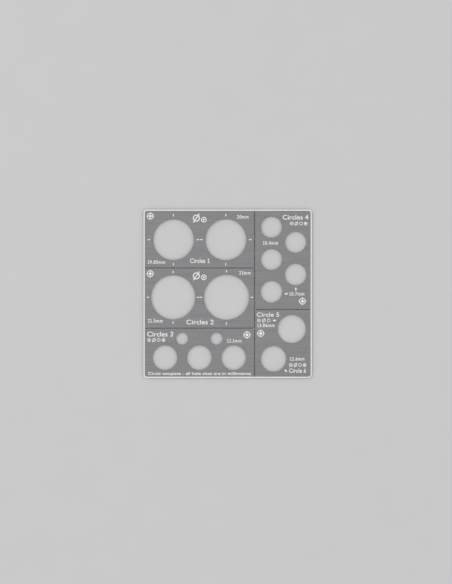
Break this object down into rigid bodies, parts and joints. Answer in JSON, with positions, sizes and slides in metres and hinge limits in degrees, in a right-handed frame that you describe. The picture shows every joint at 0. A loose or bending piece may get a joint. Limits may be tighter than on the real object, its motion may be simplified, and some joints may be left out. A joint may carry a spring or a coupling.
{
  "type": "circle template",
  "caption": "Thin square steel sheet of stencils with round guide holes, parted by etched seams and held together by small bendable tabs.",
  "frame": {"origin": "centre of the square sheet on its underside", "axes": "+X to the right and +Y towards the top edge as the numbers are read, +Z out of the marked face"},
  "size_m": [0.081, 0.081, 0.0003],
  "materials": {
    "sheet_steel": "satin, finely brushed",
    "etched_steel": "matt, frosted by etching"
  },
  "bodies": {
    "panel_20mm": {"stencil_20mm": "sheet_steel", "tab_20_22_edge": "etched_steel", "tab_20_22_middle": "sheet_steel", "tab_20_22_inner": "sheet_steel", "tab_20_10_edge": "etched_steel", "tab_20_10_middle": "sheet_steel"},
    "panel_22mm": {"stencil_22mm": "sheet_steel", "tab_22_12_edge": "etched_steel", "tab_22_12_middle": "sheet_steel", "tab_22_12_inner": "sheet_steel"},
    "panel_12mm": {"stencil_12mm": "sheet_steel"},
    "panel_10mm": {"stencil_10mm": "sheet_steel", "tab_10_13_inner": "sheet_steel", "tab_10_13_edge": "sheet_steel"},
    "panel_13mm": {"stencil_13mm": "sheet_steel", "tab_22_13_middle": "sheet_steel", "tab_12_13_edge": "sheet_steel"}
  },
  "joints": [
    {"name": "upright_fold", "type": "hinge", "parent": "panel_20mm", "child": "panel_10mm", "pos_m": [0.01295, 0, 0.00015], "axis": [0, -1, 0], "range_deg": [0, 90], "deforming": ["tab_20_10_edge", "tab_20_10_middle", "tab_22_13_middle", "tab_12_13_edge"]},
    {"name": "fold_20_22", "type": "hinge", "parent": "panel_20mm", "child": "panel_22mm", "pos_m": [-0.0135, 0.0124, 0.00015], "axis": [-1, 0, 0], "range_deg": [0, 90], "deforming": ["tab_20_22_edge", "tab_20_22_middle", "tab_20_22_inner"]},
    {"name": "fold_22_12", "type": "hinge", "parent": "panel_22mm", "child": "panel_12mm", "pos_m": [-0.0135, -0.0166, 0.00015], "axis": [-1, 0, 0], "range_deg": [0, 90], "deforming": ["tab_22_12_edge", "tab_22_12_middle", "tab_22_12_inner"]},
    {"name": "fold_10_13", "type": "hinge", "parent": "panel_10mm", "child": "panel_13mm", "pos_m": [0.0267, -0.0076, 0.00015], "axis": [-1, 0, 0], "range_deg": [0, 90], "deforming": ["tab_10_13_inner", "tab_10_13_edge"]}
  ]
}
